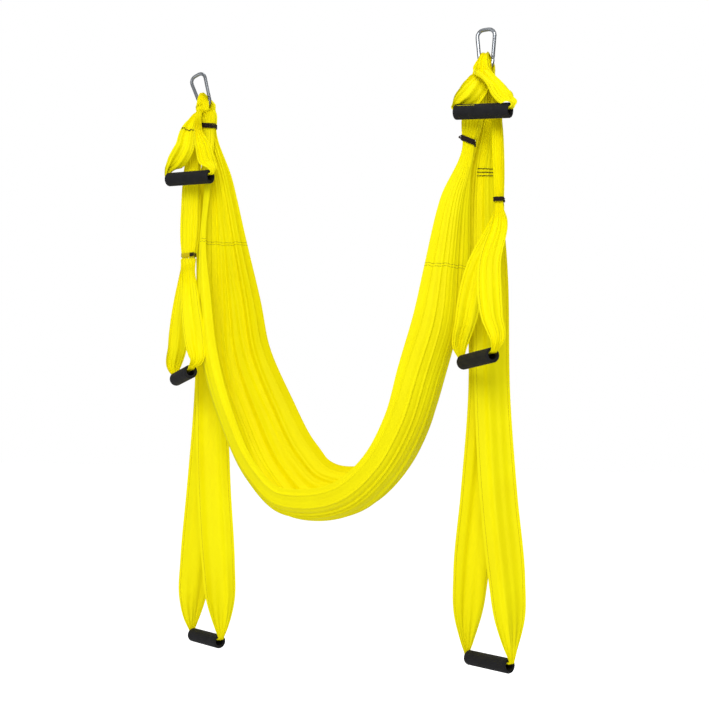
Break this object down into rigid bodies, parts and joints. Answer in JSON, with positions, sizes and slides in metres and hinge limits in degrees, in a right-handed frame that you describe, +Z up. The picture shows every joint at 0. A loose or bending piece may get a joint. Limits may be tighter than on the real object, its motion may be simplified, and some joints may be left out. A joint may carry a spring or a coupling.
{
  "type": "aerial hammock",
  "caption": "Cloth aerial swing that hangs as a U between two snap hooks, with looped straps of three lengths at each side that carry foam hand grips.",
  "frame": {"origin": "midway between the two snap hooks, level with the inner top of the upright right hook, where its anchor bears", "axes": "+Z up, +X from the left hook to the right hook as seen from the front, +Y to the back"},
  "size_m": [1.0082, 0.2458, 1.5033],
  "materials": {
    "taffeta": "smooth nylon taffeta with a low sheen",
    "thread": "dark sewing thread, matte",
    "foam": "matte closed-cell foam",
    "core": "matte black tube",
    "steel": "polished steel"
  },
  "bodies": {
    "hammock_and_hooks": {"left_hook_body": "steel", "left_hook_rivet": "steel", "left_medium_hanger": "taffeta", "left_medium_binding": "thread", "left_hammock_end": "taffeta", "left_hammock_binding": "thread", "left_hammock_panel": "taffeta", "right_hook_body": "steel", "right_hook_rivet": "steel", "right_medium_hanger": "taffeta", "right_medium_binding": "thread", "right_hammock_end": "taffeta", "right_hammock_binding": "thread", "right_hammock_panel": "taffeta", "middle_hammock_panel": "taffeta"},
    "left_gate": {"left_hook_gate": "steel", "left_hook_latch_pin": "steel", "left_hook_plunger": "steel", "left_hook_spring": "steel"},
    "left_short_strap": {"left_short_strap": "taffeta"},
    "left_short_grip": {"left_short_grip_foam": "foam", "left_short_grip_core": "core"},
    "left_medium_strap": {"left_medium_strap": "taffeta"},
    "left_medium_grip": {"left_medium_grip_foam": "foam", "left_medium_grip_core": "core"},
    "left_long_strap": {"left_long_strap": "taffeta"},
    "left_long_grip": {"left_long_grip_foam": "foam", "left_long_grip_core": "core"},
    "right_gate": {"right_hook_gate": "steel", "right_hook_latch_pin": "steel", "right_hook_plunger": "steel", "right_hook_spring": "steel"},
    "right_short_strap": {"right_short_strap": "taffeta"},
    "right_short_grip": {"right_short_grip_foam": "foam", "right_short_grip_core": "core"},
    "right_medium_strap": {"right_medium_strap": "taffeta"},
    "right_medium_grip": {"right_medium_grip_foam": "foam", "right_medium_grip_core": "core"},
    "right_long_strap": {"right_long_strap": "taffeta"},
    "right_long_grip": {"right_long_grip_foam": "foam", "right_long_grip_core": "core"}
  },
  "joints": [
    {"name": "left_gate_hinge", "type": "hinge", "parent": "hammock_and_hooks", "child": "left_gate", "pos_m": [-0.37797, 0, -0.05747], "axis": [0, -1, 0], "range_deg": [0, 25], "stiffness_Nm_per_rad": 0.3, "springref_deg": -20.05},
    {"name": "left_short_strap_swing", "type": "hinge", "parent": "hammock_and_hooks", "child": "left_short_strap", "pos_m": [-0.39055, 0, -0.08636], "axis": [-1, 0, 0], "range_deg": [0, 75]},
    {"name": "left_short_grip_roll", "type": "hinge", "parent": "left_short_strap", "child": "left_short_grip", "pos_m": [-0.39625, -0.06, -0.286], "axis": [0.9932, -0.1044, -0.0523], "continuous": true},
    {"name": "left_medium_strap_swing", "type": "hinge", "parent": "hammock_and_hooks", "child": "left_medium_strap", "pos_m": [-0.43525, -0.004, -0.4876], "axis": [-1, 0, 0], "range_deg": [0, 75]},
    {"name": "left_medium_grip_roll", "type": "hinge", "parent": "left_medium_strap", "child": "left_medium_grip", "pos_m": [-0.41925, -0.047, -0.793], "axis": [0.7618, -0.6393, 0.1045], "continuous": true},
    {"name": "left_long_strap_swing", "type": "hinge", "parent": "hammock_and_hooks", "child": "left_long_strap", "pos_m": [-0.39535, 0, -0.08568], "axis": [1, 0, 0], "range_deg": [0, 60]},
    {"name": "left_long_grip_roll", "type": "hinge", "parent": "left_long_strap", "child": "left_long_grip", "pos_m": [-0.42125, 0.072, -1.477], "axis": [0.891, -0.454, 0], "continuous": true},
    {"name": "right_gate_hinge", "type": "hinge", "parent": "hammock_and_hooks", "child": "right_gate", "pos_m": [0.40805, 0, -0.0625], "axis": [0, -1, 0], "range_deg": [0, 25], "stiffness_Nm_per_rad": 0.3, "springref_deg": -20.05},
    {"name": "right_short_strap_swing", "type": "hinge", "parent": "hammock_and_hooks", "child": "right_short_strap", "pos_m": [0.39055, 0, -0.08636], "axis": [-1, 0, 0], "range_deg": [0, 75]},
    {"name": "right_short_grip_roll", "type": "hinge", "parent": "right_short_strap", "child": "right_short_grip", "pos_m": [0.40375, -0.06, -0.205], "axis": [0.9891, -0.104, -0.1045], "continuous": true},
    {"name": "right_medium_strap_swing", "type": "hinge", "parent": "hammock_and_hooks", "child": "right_medium_strap", "pos_m": [0.42225, -0.004, -0.4126], "axis": [-1, 0, 0], "range_deg": [0, 75]},
    {"name": "right_medium_grip_roll", "type": "hinge", "parent": "right_medium_strap", "child": "right_medium_grip", "pos_m": [0.38275, -0.047, -0.771], "axis": [0.7642, -0.6412, 0.0698], "continuous": true},
    {"name": "right_long_strap_swing", "type": "hinge", "parent": "hammock_and_hooks", "child": "right_long_strap", "pos_m": [0.39535, 0, -0.08568], "axis": [1, 0, 0], "range_deg": [0, 60]},
    {"name": "right_long_grip_roll", "type": "hinge", "parent": "right_long_strap", "child": "right_long_grip", "pos_m": [0.36225, 0.072, -1.474], "axis": [0.891, -0.454, 0], "continuous": true}
  ]
}
